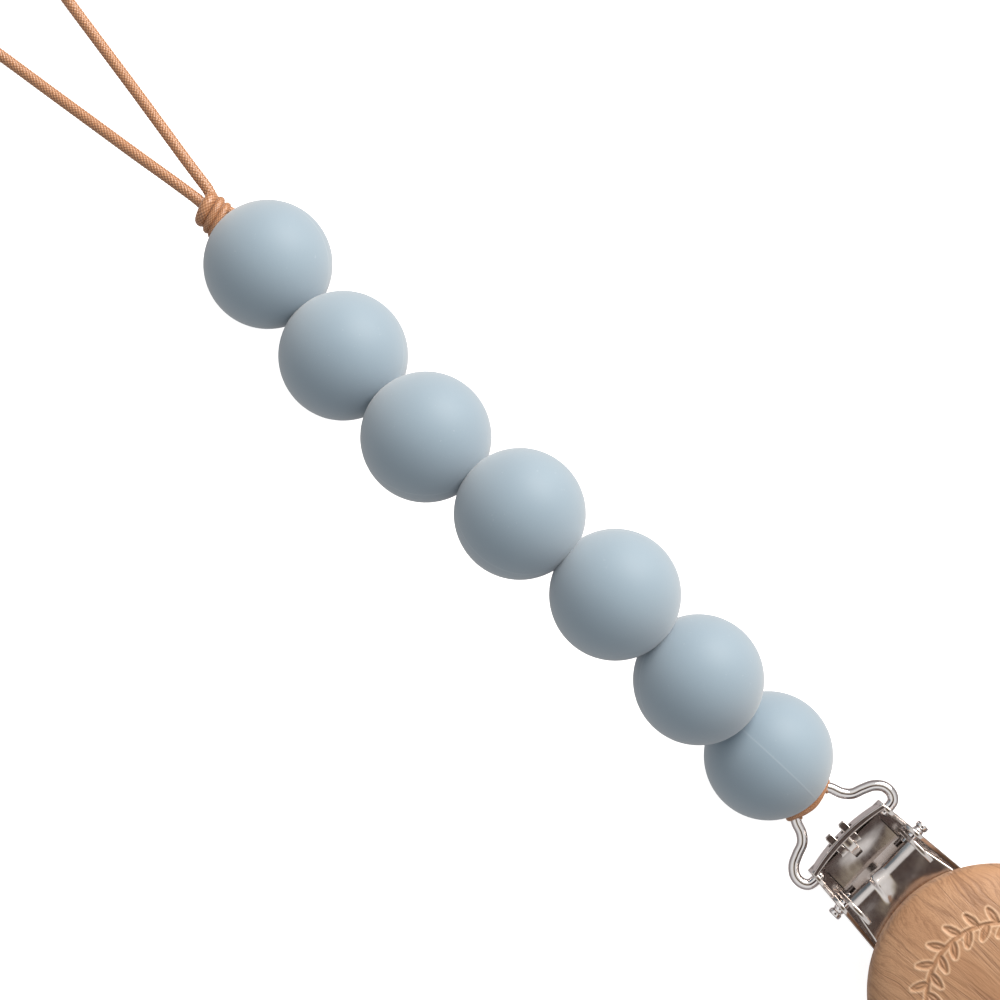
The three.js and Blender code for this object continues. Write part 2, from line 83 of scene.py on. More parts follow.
JAW_WIDENS_X = 9.0
JAW_STEP_X = 15.5
JAW_TIP = (23.4, 3.5)
DISC_RADIUS = 14.8
DISC_X = 24.3
DISC_Y = -0.4
DISC_HEIGHT = 7.5
DISC_BOTTOM = 6.95
RIVET_X = (DISC_X - 6.5, DISC_X + 3.5)
KNOT_LENGTH = 3.6
KNOT_SIDE = -0.5

# clip coordinates have X = 0 at the outside of the end wall
CLIP_SHIFT = joint_place("lever_open") - np.array([PIVOT[0], 0.0, PIVOT[1]])


# ---------------------------------------------------------------- camera
def make_camera():
    data = bpy.data.cameras.new("camera")
    data.sensor_width = 36.0
    data.lens = 127.2
    camera = bpy.data.objects.new("camera", data)
    camera.location = Vector(CLIP_SHIFT + np.array([-56.5, -0.7, 417.5])) * MM
    camera.rotation_euler = (0.0, 0.0, math.radians(45.0))
    bpy.context.scene.collection.objects.link(camera)
    bpy.context.scene.camera = camera


make_camera()


# ---------------------------------------------------------------- mesh helpers
def make_object(name, points, faces, body, replaced, material, sharp=None):
    """A mesh object from millimetre points, riding on a body in place of CAD nodes."""
    mesh = bpy.data.meshes.new(name)
    mesh.from_pydata((np.asarray(points) * MM).tolist(), [], [list(face) for face in faces])
    mesh.update()
    mesh.shade_smooth()
    if sharp is not None:
        mesh.set_sharp_from_angle(angle=math.radians(sharp))
    piece = bpy.data.objects.new(name, mesh)
    bpy.context.scene.collection.objects.link(piece)
    mesh.materials.append(material)
    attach(piece, body)
    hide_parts(*replaced)
    return piece


def add_attribute(piece, name, values):
    layer = piece.data.attributes.new(name, "FLOAT", "POINT")
    layer.data.foreach_set("value", np.asarray(values, dtype=np.float32))


def grid_faces(rows, columns):
    """Quads between closed rows of points; each row has the same number of points."""
    faces = []
    for row in range(rows - 1):
        for column in range(columns):
            following = (column + 1) % columns
            faces.append((row * columns + column, row * columns + following,
                          (row + 1) * columns + following, (row + 1) * columns + column))
    return faces


def closed_grid(rows, columns):
    """Grid faces with a flat cap over the first row and over the last."""
    first_cap = tuple(range(columns - 1, -1, -1))
    last_cap = tuple((rows - 1) * columns + k for k in range(columns))
    return grid_faces(rows, columns) + [first_cap, last_cap]


def outward(points, faces):
    """Turns all the faces of a closed mesh over if they point inwards."""
    points = np.asarray(points, dtype=float)
    volume = 0.0
    for face in faces:
        first = points[face[0]]
        for j in range(1, len(face) - 1):
            volume += first @ np.cross(points[face[j]], points[face[j + 1]])
    return faces if volume > 0 else [tuple(reversed(face)) for face in faces]


def unit(vector):
    vector = np.asarray(vector, dtype=float)
    return vector / np.linalg.norm(vector)


def catmull(points, samples):
    """Centripetal Catmull-Rom through the points, evenly re-spaced along its length."""
    points = np.asarray(points, dtype=float)
    padded = np.vstack([2 * points[0] - points[1], points, 2 * points[-1] - points[-2]])
    curve = []
    for i in range(1, len(padded) - 2):
        p0, p1, p2, p3 = padded[i - 1:i + 3]
        t1 = np.linalg.norm(p1 - p0) ** 0.5
        t2 = t1 + np.linalg.norm(p2 - p1) ** 0.5
        t3 = t2 + np.linalg.norm(p3 - p2) ** 0.5
        for t in np.linspace(t1, t2, 24, endpoint=False):
            a1 = (t1 - t) / t1 * p0 + t / t1 * p1
            a2 = (t2 - t) / (t2 - t1) * p1 + (t - t1) / (t2 - t1) * p2
            a3 = (t3 - t) / (t3 - t2) * p2 + (t - t2) / (t3 - t2) * p3
            b1 = (t2 - t) / t2 * a1 + t / t2 * a2
            b2 = (t3 - t) / (t3 - t1) * a2 + (t - t1) / (t3 - t1) * a3
            curve.append((t2 - t) / (t2 - t1) * b1 + (t - t1) / (t2 - t1) * b2)
    curve.append(points[-1])
    curve = np.array(curve)
    along = np.concatenate([[0], np.cumsum(np.linalg.norm(np.diff(curve, axis=0), axis=1))])
    even = np.linspace(0, along[-1], samples)
    return np.stack([np.interp(even, along, curve[:, k]) for k in range(3)], axis=1), along[-1]


def moving_frames(route):
    """Tangent, side and upward directions along a route, without twist."""
    tangents = np.gradient(route, axis=0)
    tangents /= np.linalg.norm(tangents, axis=1)[:, None]
    side = np.cross((0, 0, 1), tangents[0])
    if np.linalg.norm(side) < 1e-6:
        side = np.cross((0, 1, 0), tangents[0])
    side = unit(side)
    sides = []
    for tangent in tangents:
        side = unit(side - np.dot(side, tangent) * tangent)
        sides.append(side)
    sides = np.array(sides)
    return tangents, sides, np.cross(tangents, sides)


def tube(route, radius, around, height=None):
    """Closed tube along a route. height(s, angle) adds to the radius. Returns points, faces
    and the heights."""
    tangents, sides, ups = moving_frames(route)
    steps = np.linalg.norm(np.diff(route, axis=0), axis=1)
    along = np.concatenate([[0], np.cumsum(steps)])
    angles = np.arange(around) * TAU / around
    s, a = np.meshgrid(along, angles, indexing="ij")
    extra = np.zeros_like(s) if height is None else height(s, a)
    r = np.broadcast_to(np.asarray(radius, dtype=float).reshape(-1, 1), s.shape) + extra
    points = (route[:, None, :] + (r * np.cos(a))[:, :, None] * sides[:, None, :]
              + (r * np.sin(a))[:, :, None] * ups[:, None, :])
    return points.reshape(-1, 3), closed_grid(len(route), around), extra.reshape(-1)


def merged(parts):
    """Joins (points, faces, values) parts into one."""
    points, faces, values, offset = [], [], [], 0
    for part_points, part_faces, part_values in parts:
        points.append(part_points)
        values.append(part_values)
        faces.extend(tuple(i + offset for i in face) for face in part_faces)
        offset += len(part_points)
    return np.vstack(points), faces, np.concatenate(values)


def orthogonal_frame(axis):
    """Two directions across an axis; the second points to +Z unless the axis is upright."""
    axis = unit(axis)
    reference = (0, 0, 1) if abs(axis[2]) < 0.9 else (0, 1, 0)
    across = unit(np.cross(reference, axis))
    return across, np.cross(axis, across)


# ---------------------------------------------------------------- materials
def new_material(name):
    material = bpy.data.materials.new(name)
    material.use_nodes = True
    nodes = material.node_tree.nodes
    nodes.clear()
    output = nodes.new("ShaderNodeOutputMaterial")
    shader = nodes.new("ShaderNodeBsdfPrincipled")
    material.node_tree.links.new(shader.outputs["BSDF"], output.inputs["Surface"])
    return material, material.node_tree, shader


def position_node(tree, scale):
    """Object-space position, stretched by the given scale for each axis."""
    place = tree.nodes.new("ShaderNodeTexCoord")
    mapping = tree.nodes.new("ShaderNodeMapping")
    mapping.inputs["Scale"].default_value = scale
    tree.links.new(place.outputs["Object"], mapping.inputs["Vector"])
    return mapping.outputs["Vector"]


def noise_node(tree, vector, scale, detail=4.0, rough=0.5, distortion=0.0):
    noise = tree.nodes.new("ShaderNodeTexNoise")
    noise.inputs["Scale"].default_value = scale
    noise.inputs["Detail"].default_value = detail
    noise.inputs["Roughness"].default_value = rough
    noise.inputs["Distortion"].default_value = distortion
    tree.links.new(vector, noise.inputs["Vector"])
    return noise.outputs["Fac"]


def ramp_node(tree, value, stops):
    ramp = tree.nodes.new("ShaderNodeValToRGB")
    while len(ramp.color_ramp.elements) < len(stops):
        ramp.color_ramp.elements.new(0.5)
    for element, (place, color) in zip(ramp.color_ramp.elements, stops):
        element.position = place
        element.color = (*color, 1.0)
    tree.links.new(value, ramp.inputs["Fac"])
    return ramp.outputs["Color"]


def mix_node(tree, factor, first, second, blend="MIX"):
    mix = tree.nodes.new("ShaderNodeMix")
    mix.data_type = "RGBA"
    mix.blend_type = blend
    sockets = {"factor": mix.inputs[0], "a": mix.inputs[6], "b": mix.inputs[7]}
    for key, value in (("factor", factor), ("a", first), ("b", second)):
        if isinstance(value, bpy.types.NodeSocket):
            tree.links.new(value, sockets[key])
        elif key == "factor":
            sockets[key].default_value = value
        else:
            sockets[key].default_value = (*value, 1.0)
    return mix.outputs[2]


def math_node(tree, operation, *values):
    node = tree.nodes.new("ShaderNodeMath")
    node.operation = operation
    for socket, value in zip(node.inputs, values):
        if isinstance(value, bpy.types.NodeSocket):
            tree.links.new(value, socket)
        else:
            socket.default_value = value
    return node.outputs[0]


def bump_node(tree, shader, height, distance, strength=1.0):
    bump = tree.nodes.new("ShaderNodeBump")
    bump.inputs["Strength"].default_value = strength
    bump.inputs["Distance"].default_value = distance
    tree.links.new(height, bump.inputs["Height"])
    tree.links.new(bump.outputs["Normal"], shader.inputs["Normal"])


def attribute_node(tree, name):
    node = tree.nodes.new("ShaderNodeAttribute")
    node.attribute_name = name
    return node.outputs["Fac"]


def silicone_material():
    material, tree, shader = new_material("silicone_blue")
    place = position_node(tree, (1, 1, 1))
    cloud = noise_node(tree, place, 90, 3)
    color = ramp_node(tree, cloud, [(0.3, (0.222, 0.312, 0.392)), (0.7, (0.240, 0.334, 0.414))])
    speck = noise_node(tree, place, 1500, 2, 0.7)
    dust = ramp_node(tree, speck, [(0.70, (0, 0, 0)), (0.78, (1, 1, 1))])
    dusty = mix_node(tree, math_node(tree, "MULTIPLY", dust, 0.18), color, (0.62, 0.70, 0.76))
    seam = attribute_node(tree, "seam")
    final = mix_node(tree, math_node(tree, "MULTIPLY", seam, 0.16), dusty, (0.62, 0.71, 0.77))
    tree.links.new(final, shader.inputs["Base Color"])
    rough = math_node(tree, "MULTIPLY_ADD", cloud, 0.12, 0.50)
    tree.links.new(rough, shader.inputs["Roughness"])
    shader.inputs["IOR"].default_value = 1.41
    shader.inputs["Sheen Weight"].default_value = 0.50
    shader.inputs["Sheen Roughness"].default_value = 0.70
    shader.inputs["Sheen Tint"].default_value = (1.0, 0.97, 0.94, 1.0)
    bump_node(tree, shader, noise_node(tree, place, 4200, 3, 0.6), 0.000012, 0.5)
    return material


def nickel_material(name, roughness, tint):
    material, tree, shader = new_material(name)
    place = position_node(tree, (1, 1, 1))
    cloud = noise_node(tree, place, 260, 4, 0.6)
    dark = tuple(0.86 * c for c in tint)
    tree.links.new(ramp_node(tree, cloud, [(0.35, dark), (0.65, tint)]), shader.inputs["Base Color"])
    shader.inputs["Metallic"].default_value = 1.0
    fine = noise_node(tree, place, 900, 3, 0.6)
    rough = math_node(tree, "MULTIPLY_ADD", fine, 0.10, roughness - 0.05)
    tree.links.new(rough, shader.inputs["Roughness"])
    scratch = noise_node(tree, position_node(tree, (0.25, 1, 1)), 3200, 3, 0.7)
    wave = noise_node(tree, place, 330, 2, 0.5)
    height = math_node(tree, "MULTIPLY_ADD", wave, 24.0, scratch)
    bump_node(tree, shader, height, 0.0000016, 1.0)
    return material


def cord_material():
    material, tree, shader = new_material("braided_cord")
    # Painted shade: the colour follows the yarn height, near black in the crevices between the yarns and
    # lighter toward their crowns.
    crown = attribute_node(tree, "crown")
    color = ramp_node(tree, crown, [(0.0, (0.10, 0.036, 0.014)), (0.40, (0.36, 0.150, 0.062)),
                                    (0.75, (0.55, 0.275, 0.130)), (1.0, (0.70, 0.43, 0.26))])
    place = position_node(tree, (1, 1, 1))
    fibre = noise_node(tree, place, 5200, 3, 0.7)
    varied = mix_node(tree, 0.55, color,
                      ramp_node(tree, fibre, [(0.3, (0.55, 0.45, 0.4)), (0.7, (1.2, 1.15, 1.1))]),
                      "MULTIPLY")
    tree.links.new(varied, shader.inputs["Base Color"])
    shader.inputs["Roughness"].default_value = 0.34
    shader.inputs["Specular IOR Level"].default_value = 0.75
    shader.inputs["Sheen Weight"].default_value = 0.75
    shader.inputs["Sheen Roughness"].default_value = 0.30
    shader.inputs["Sheen Tint"].default_value = (1.0, 0.97, 0.94, 1.0)
    bump_node(tree, shader, fibre, 0.00003, 0.6)
    return material


def beech_material():
    """Growth layers and short dark rays run along X through the whole block, so they curve
    where the dome cuts them."""
    material, tree, shader = new_material("beech")
    warp = noise_node(tree, position_node(tree, (0.30, 1, 1)), 150, 2, 0.5)
    spread = tree.nodes.new("ShaderNodeCombineXYZ")
    tree.links.new(math_node(tree, "MULTIPLY", warp, 0.0045), spread.inputs["Y"])
    tree.links.new(math_node(tree, "MULTIPLY", warp, 0.0030), spread.inputs["Z"])
    add = tree.nodes.new("ShaderNodeVectorMath")
    add.operation = "ADD"
    tree.links.new(position_node(tree, (1, 1, 1)), add.inputs[0])
    tree.links.new(spread.outputs["Vector"], add.inputs[1])

    def stretched(scale):
        mapping = tree.nodes.new("ShaderNodeMapping")
        mapping.inputs["Scale"].default_value = scale
        tree.links.new(add.outputs["Vector"], mapping.inputs["Vector"])
        return mapping.outputs["Vector"]

    def level_lines(noise, width):
        """Thin lines where a noise passes its middle value."""
        distance = math_node(tree, "ABSOLUTE", math_node(tree, "SUBTRACT", noise, 0.5))
        return ramp_node(tree, distance, [(0.0, (1, 1, 1)), (width, (0, 0, 0))])

    broad = noise_node(tree, stretched((0.06, 1, 0.15)), 330, 4, 0.55)
    color = ramp_node(tree, broad, [(0.25, (0.39, 0.202, 0.104)), (0.5, (0.465, 0.256, 0.138)),
                                    (0.75, (0.53, 0.308, 0.175))])
    rays = noise_node(tree, stretched((0.040, 1, 0.10)), 760, 2, 0.5, 0.15)
    thin = noise_node(tree, stretched((0.045, 1, 0.14)), 1700, 2, 0.5, 0.1)
    patch = ramp_node(tree, noise_node(tree, stretched((0.25, 1, 0.3)), 300, 2),
                      [(0.36, (0.55, 0.55, 0.55)), (0.6, (1, 1, 1))])
    strong = math_node(tree, "MULTIPLY", level_lines(rays, 0.052), patch)
    lined = mix_node(tree, math_node(tree, "MULTIPLY", strong, 0.62), color, (0.21, 0.100, 0.050))
    weak = math_node(tree, "MULTIPLY", level_lines(thin, 0.06), 0.50)
    lined = mix_node(tree, weak, lined, (0.26, 0.125, 0.060))
    pores = noise_node(tree, stretched((0.10, 1, 0.8)), 4200, 3, 0.7)
    fine = mix_node(tree, 0.45, lined,
                    ramp_node(tree, pores, [(0.35, (0.80, 0.76, 0.72)), (0.6, (1.05, 1.05, 1.05))]),
                    "MULTIPLY")
    carved = attribute_node(tree, "carve")
    edge = attribute_node(tree, "carve_edge")
    # Painted highlight: the lips beside the engraved grooves are painted lighter; the grooves themselves
    # are painted darker.
    lit = mix_node(tree, math_node(tree, "MULTIPLY", edge, 0.55), fine, (0.84, 0.58, 0.38))
    cut = mix_node(tree, math_node(tree, "MULTIPLY", carved, 0.35), lit, (0.40, 0.20, 0.095))
    tree.links.new(cut, shader.inputs["Base Color"])
    rough = math_node(tree, "MULTIPLY_ADD", rays, 0.2, 0.42)
    tree.links.new(rough, shader.inputs["Roughness"])
    relief = math_node(tree, "MULTIPLY_ADD", strong, -0.5, pores)
    bump_node(tree, shader, relief, 0.00008, 0.8)
    return material


def insert_material():
    material, tree, shader = new_material("insert_plastic")
    place = position_node(tree, (1, 1, 1))
    cloud = noise_node(tree, place, 400, 3)
    tree.links.new(ramp_node(tree, cloud, [(0.3, (0.74, 0.72, 0.68)), (0.7, (0.82, 0.80, 0.76))]),
                   shader.inputs["Base Color"])
    shader.inputs["Roughness"].default_value = 0.42
    bump_node(tree, shader, noise_node(tree, place, 2600, 2), 0.00001, 0.6)
    return material


SILICONE = silicone_material()
NICKEL = nickel_material("nickel_sheet", 0.17, (0.73, 0.675, 0.645))
WIRE = nickel_material("nickel_wire", 0.10, (0.82, 0.78, 0.77))
CORD = cord_material()
BEECH = beech_material()
INSERT = insert_material()


# ---------------------------------------------------------------- braided cord
BRAID_STRANDS = 10          # yarns in each direction
BRAID_PITCH = 5.4           # length of one turn of a yarn
BRAID_DEPTH = 0.11


def braid_height(s, a, scale):
    """Radial height of a one-over-one braid: yarns run both ways and cross alternately."""
    one = a * BRAID_STRANDS / TAU + s * BRAID_STRANDS / (BRAID_PITCH * scale)
    two = a * BRAID_STRANDS / TAU - s * BRAID_STRANDS / (BRAID_PITCH * scale)
    over = (np.floor(one) + np.floor(two)) % 2 == 0
    u, v = one % 1.0, two % 1.0
    across = np.where(over, u, v)
    length = np.where(over, v, u)
    crown = np.sqrt(np.clip(np.sin(math.pi * across), 0, 1))
    rise = 0.35 + 0.65 * np.sin(math.pi * length)
    return BRAID_DEPTH * scale * (crown * rise - 1.0)


def cord_part(points, radius, around=60, step=0.07, taper=0.0):
    """A braided cord along given points, with one radius or one for each point."""
    _, length = catmull(points, 10)
    samples = max(8, int(length / step))
    route, _ = catmull(points, samples)
    given = np.broadcast_to(np.asarray(radius, dtype=float), len(points))
    radii = np.interp(np.linspace(0, len(points) - 1, samples), np.arange(len(points)), given)
    if taper:
        run = np.linspace(0, length, samples)
        nearest = np.minimum(run, length - run)
        radii = radii * np.clip(0.25 + 0.75 * np.sqrt(nearest / taper), 0, 1)
    scale = np.mean(given) / CORD_RADIUS
    part = tube(route, radii, around, lambda s, a: braid_height(s, a, scale))
    # the third value is the yarn height from 0 to 1 that the cord's painted shade follows
    return (part[0], part[1], part[2] / (BRAID_DEPTH * scale) + 1.0)


def cord_object(name, parts, body, replaced):
    points, faces, crown = merged(parts)
    piece = make_object(name, points, faces, body, replaced, CORD)
    # the yarn height that drives the painted shade in the crevices between the yarns
    add_attribute(piece, "crown", crown)
    return piece


# the loop's route relative to the knot's outer end, as in part.mjs
LOOP_ROUTE = [
    (-0.35, -0.85, -0.1), (-4, -1.4, -0.5), (-9, -2.2, -1.5), (-15, -3.1, -3.1),
    (-22, -4.15, -4.8), (-30, -5.35, -5.7), (-39, -6.9, -6), (-48, -8.5, -6),
    (-55.5, -8.9, -6), (-61.5, -6.4, -6), (-64.3, -0.5, -6), (-62.2, 5.5, -6),
    (-56.5, 8.7, -6), (-48, 8.6, -6), (-39, 6.9, -6), (-30, 5.2, -5.7),
    (-22, 4.0, -4.8), (-15, 3.0, -3.1), (-9, 2.1, -1.5), (-4, 1.35, -0.5),
    (-0.35, 0.85, -0.1),
]
KNOT_CLIMB = math.radians(6)
KNOT_HEADING = math.radians(-2)
KNOT_AXIS = np.array([
    math.cos(KNOT_CLIMB) * math.cos(KNOT_HEADING),
    math.cos(KNOT_CLIMB) * math.sin(KNOT_HEADING),
    math.sin(KNOT_CLIMB),
])
HOLE_END = joint_place("loop_swing")
KNOT_END = HOLE_END - KNOT_AXIS * (GAP + KNOT_LENGTH) + np.array([0, KNOT_SIDE, 0])


def loop_points():
    floor = CORD_RADIUS + 0.02
    points = KNOT_END + np.array(LOOP_ROUTE)
    points[:, 2] = np.maximum(points[:, 2], floor)
    return points


def make_loop():
    points = loop_points()
    piece = cord_object("braided_loop", [cord_part(points, LOOP_RADIUS)], "loop", ["cord_loop"])
    path, length = catmull(points, 400)
    return piece, path, length


def make_knot():
    """Two doubled strands bound by three slanted wraps, the outer one the fattest."""
    parts = []
    inner = HOLE_END + KNOT_AXIS * 0.1
    for side in (-1, 1):
        start = KNOT_END + np.array([-0.5, side * 0.87, -0.12])
        middle = KNOT_END + KNOT_AXIS * 1.6 + np.array([0, side * 0.55 - 0.1, 0])
        end = inner + np.array([0, side * 0.5, 0])
        parts.append(cord_part([start, middle, end], 0.70))
    centre = KNOT_END + KNOT_AXIS * (KNOT_LENGTH / 2) + np.array([0, -0.72, 0])
    places = []
    radii = []
    for turn in np.linspace(0, 3, 43):
        angle = TAU * turn - math.pi / 2
        across = np.interp(turn, (0.2, 1.2, 3.0), (1.25, 1.72, 1.86)) * math.cos(angle)
        high = np.interp(turn, (0.3, 1.0, 2.0), (1.28, 1.36, 1.42)) * math.sin(angle)
        step = np.interp(turn, (0.0, 0.5, 1.5, 2.5, 3.0), (-0.95, -0.62, 0.62, 1.55, 1.8))
        places.append(centre + np.array([step - 0.20 * across, across, high]))
        radii.append(np.interp(turn, (0.85, 1.15, 3.0), (0.72, 0.50, 0.46)))
    parts.append(cord_part(places, radii, taper=0.5))
    return cord_object("wrapped_knot", parts, "loop", ["loop_knot"])


LOOP, LOOP_PATH, LOOP_LENGTH = make_loop()
KNOT = make_knot()


# ---------------------------------------------------------------- beads
BORE = 1.25
MOUTH = 0.12                # rounding of the bore's mouth
SEAM_TURNS = [20, 12, 158, 150, 15, 166, 88]     # degrees: each bead's mould line


def make_bead(index):
    joint = JOINTS[f"turn_bead_{index}"]
    centre = np.array(joint["pos_m"]) / MM
    axis = unit(joint["axis"])
    across, up = orthogonal_frame(axis)
    start = math.asin((BORE + MOUTH) / BEAD_RADIUS)
    polar = np.linspace(start, math.pi - start, 109)
    profile = list(zip(BEAD_RADIUS * np.cos(polar), BEAD_RADIUS * np.sin(polar)))
    far = profile[-1][0]
    for k in range(1, 7):
        angle = (math.pi / 2) * k / 6
        profile.append((far + MOUTH * (1 - math.cos(angle)), BORE + MOUTH * (1 - math.sin(angle))))
    near = [(-x, r) for x, r in reversed(profile[-6:])]
    profile = near + profile
    fine = np.radians([-1.5, -0.9, -0.45, 0, 0.45, 0.9, 1.5])
    turn = math.radians(SEAM_TURNS[index - 1])
    regular = np.radians(np.arange(4, 177, 3.6))
    angles = np.sort(np.concatenate([fine, fine + math.pi, regular, regular + math.pi])) + turn
    around = len(angles)
    points, seam = [], []
    for x, r in profile:
        outside = r > BORE + 0.6
        distance = np.abs(np.sin(angles - turn)) * r
        ridge = np.exp(-(distance / 0.085) ** 2) if outside else np.zeros(around)
        radial = r + 0.012 * ridge * (r / BEAD_RADIUS)
        offset = (radial * np.cos(angles))[:, None] * across + (radial * np.sin(angles))[:, None] * up
        points.append(centre + x * axis + offset)
        seam.append(ridge)
    points = np.vstack(points)
    faces = grid_faces(len(profile), around)
    last = (len(profile) - 1) * around
    faces += [(last + k, last + (k + 1) % around, (k + 1) % around, k) for k in range(around)]
    piece = make_object(f"silicone_bead_{index}", points, faces, f"bead_{index}",
                        [f"bead_{index}"], SILICONE)
    add_attribute(piece, "seam", np.concatenate(seam))


def make_link(index):
    joint = JOINTS[f"turn_bead_{index}"]
    centre = np.array(joint["pos_m"]) / MM
    axis = unit(joint["axis"])
    across, _ = orthogonal_frame(axis)
    half = BEAD_REACH + 0.1
    parts = []
    for side in (-1, 1):
        offset = across * side * 0.57
        stations = [centre + axis * half * t + offset for t in (-1, -0.5, 0, 0.5, 1)]
        parts.append(cord_part(stations, 0.57, around=32, step=0.14, taper=0.25))
    cord_object(f"doubled_cord_{index}", parts, f"string_{index}", [f"cord_link_{index}"])


for bead_index in range(1, BEAD_COUNT + 1):
    make_bead(bead_index)
    make_link(bead_index)


# ---------------------------------------------------------------- hitch on the bail's bar
def make_hitch():
    """Close wraps round the bar under two strands that cross over it and hug the last bead."""
    bar = np.array([BAR_X, 0, FOOT[1]]) + CLIP_SHIFT
    parts = []
    wraps = 6
    for k in range(wraps):
        y = -2.15 + 4.3 * k / (wraps - 1)
        reach = WIRE_RADIUS + 0.17
        ring = []
        for j in range(17):
            angle = TAU * j / 16 + 2.4
            lean = 0.3 * (j / 16 - 0.5)
            ring.append(bar + np.array([reach * math.cos(angle), y + lean, reach * math.sin(angle)]))
        parts.append(cord_part(ring, 0.22, around=24))
    # (x, y, z) from the middle of the bar: strands that run over it from leg to leg
    over = [(-0.3, -3.0, -0.5), (-0.15, -3.05, 0.35), (-0.05, -2.6, 1.0), (0.38, -1.5, 1.22),
            (0.66, 0.0, 1.25), (0.38, 1.5, 1.22), (-0.05, 2.6, 1.0), (-0.15, 3.05, 0.35),
            (-0.3, 3.0, -0.5)]
    parts.append(cord_part([bar + np.array(p) for p in over], 0.42, taper=0.5))
    behind = [(x - 0.62 - 0.12 * abs(y) / 3, y * 0.93, z + 0.12) for x, y, z in over]
    parts.append(cord_part([bar + np.array(p) for p in behind], 0.40, taper=0.5))
    hole = joint_place("string_bend_7")
    for side in (-1, 1):
        start = hole + np.array([-0.3, side * 0.62, 0.2])
        middle = bar + np.array([-1.15, side * 0.9, 0.35])
        end = bar + np.array([-0.75, side * 1.5, -0.75])
        parts.append(cord_part([start, middle, end], 0.50))
    cord_object("bar_hitch", parts, "hitch", ["cord_hitch"])


make_hitch()


# ---------------------------------------------------------------- wire bail
def make_bail():
    half = [
        (BAR_X, 0), (BAR_X, 1.0), (BAR_X, 1.8), (BAR_X + 0.22, 2.4), (-5.05, 2.85), (-3.75, 3.35),
        (-2.85, 4.15), (-2.35, 5.4), (-1.75, 6.6), (-0.75, 7.4), (0.4, 7.45), (1.1, 7.0),
        (FOOT[0], 6.4), (FOOT[0], 5.6), (FOOT[0], FOOT_END_Y),
    ]
    left = [(x, -y, FOOT[1]) for x, y in reversed(half)]
    right = [(x, y, FOOT[1]) for x, y in half[1:]]
    points = np.array(left + right, dtype=float) + CLIP_SHIFT
    route, length = catmull(points, 260)
    run = np.linspace(0, length, len(route))
    nearest = np.minimum(run, length - run)
    rounding = 0.25
    radii = WIRE_RADIUS - rounding + np.sqrt(
        np.clip(rounding ** 2 - np.clip(rounding - nearest, 0, rounding) ** 2, 0, None))
    tube_points, faces, _ = tube(route, radii, 32)
    make_object("steel_bail", tube_points, faces, "bail", ["wire_bail"], WIRE)


make_bail()


# ---------------------------------------------------------------- pressed sheet
def offset_outline(outline, amount):
    """Moves a counter-clockwise outline inwards by an amount."""
    outline = np.asarray(outline, dtype=float)
    before = outline - np.roll(outline, 1, axis=0)
    after = np.roll(outline, -1, axis=0) - outline
    before /= np.linalg.norm(before, axis=1)[:, None]
    after /= np.linalg.norm(after, axis=1)[:, None]
    normal_before = np.stack([-before[:, 1], before[:, 0]], axis=1)
    normal_after = np.stack([-after[:, 1], after[:, 0]], axis=1)
    bisector = normal_before + normal_after
    size = np.maximum(np.sum(bisector * normal_before, axis=1), 0.5)
    return outline + bisector / size[:, None] * amount


def tidy_outline(outline):
    """Counter-clockwise outline without repeated points."""
    smallest = 0.02
    kept = []
    for point in outline:
        if not kept or math.dist(point, kept[-1]) > smallest:
            kept.append(point)
    if math.dist(kept[0], kept[-1]) <= smallest:
        kept.pop()
    kept = np.array(kept, dtype=float)
    area = np.sum(kept[:, 0] * np.roll(kept[:, 1], -1) - np.roll(kept[:, 0], -1) * kept[:, 1])
    return kept if area > 0 else kept[::-1]


def plate(outline, low, high, plane, rounding=0.12):
    """A flat plate with rounded edges. plane XY is extruded along Z, XZ along Y."""
    outline = tidy_outline(outline)
    rings = []
    for k in range(4):
        angle = (math.pi / 2) * k / 3
        rings.append((rounding * (1 - math.sin(angle)), low + rounding * (1 - math.cos(angle))))
    rings += [(inset, low + high - level) for inset, level in reversed(rings)]
    points = []
    for inset, level in rings:
        ring = offset_outline(outline, inset)
        if plane == "XY":
            points.append(np.column_stack([ring, np.full(len(ring), level)]))
        else:
            points.append(np.column_stack([ring[:, 0], np.full(len(ring), level), ring[:, 1]]))
    faces = closed_grid(len(rings), len(outline))
    if plane == "XZ":
        faces = [face[::-1] for face in faces]
    return np.vstack(points), faces


def arc(x, z, radius, start, stop, steps=16):
    angles = np.radians(np.linspace(start, stop, steps + 1))
    return [(x + radius * math.cos(a), z + radius * math.sin(a)) for a in angles]


def strip_outline(midline, thickness):
    """Outline of bent sheet around its mid-line, closed straight across at the ends."""
    midline = np.asarray(midline, dtype=float)
    along = np.gradient(midline, axis=0)
    along /= np.linalg.norm(along, axis=1)[:, None]
    normal = np.stack([-along[:, 1], along[:, 0]], axis=1) * thickness / 2
    return [*(midline + normal), *(midline - normal)[::-1]]


def spread_line(points, spacing):
    """Adds points to the straight runs of a line."""
    line = [points[0]]
    for a, b in zip(points[:-1], points[1:]):
        parts = max(1, int(math.dist(a, b) / spacing))
        for k in range(1, parts + 1):
            line.append((a[0] + (b[0] - a[0]) * k / parts, a[1] + (b[1] - a[1]) * k / parts))
    return line


def solid(name, points, faces):
    """A temporary object for boolean work, in metres."""
    mesh = bpy.data.meshes.new(name)
    faces = outward(points, faces)
    mesh.from_pydata((np.asarray(points) * MM).tolist(), [], [list(face) for face in faces])
    mesh.update()
    item = bpy.data.objects.new(name, mesh)
    bpy.context.scene.collection.objects.link(item)
    return item


def rod(radius, centre, axis, length):
    sides = 40
    axis = unit(axis)
    first = unit(np.cross(axis, (0.31, 0.2, 0.93)))
    second = np.cross(axis, first)
    angles = np.arange(sides) * TAU / sides
    ring = radius * (np.cos(angles)[:, None] * first + np.sin(angles)[:, None] * second)
    centre = np.asarray(centre, dtype=float)
    points = np.vstack([centre - axis * length / 2 + ring, centre + axis * length / 2 + ring])
    return points, closed_grid(2, sides)


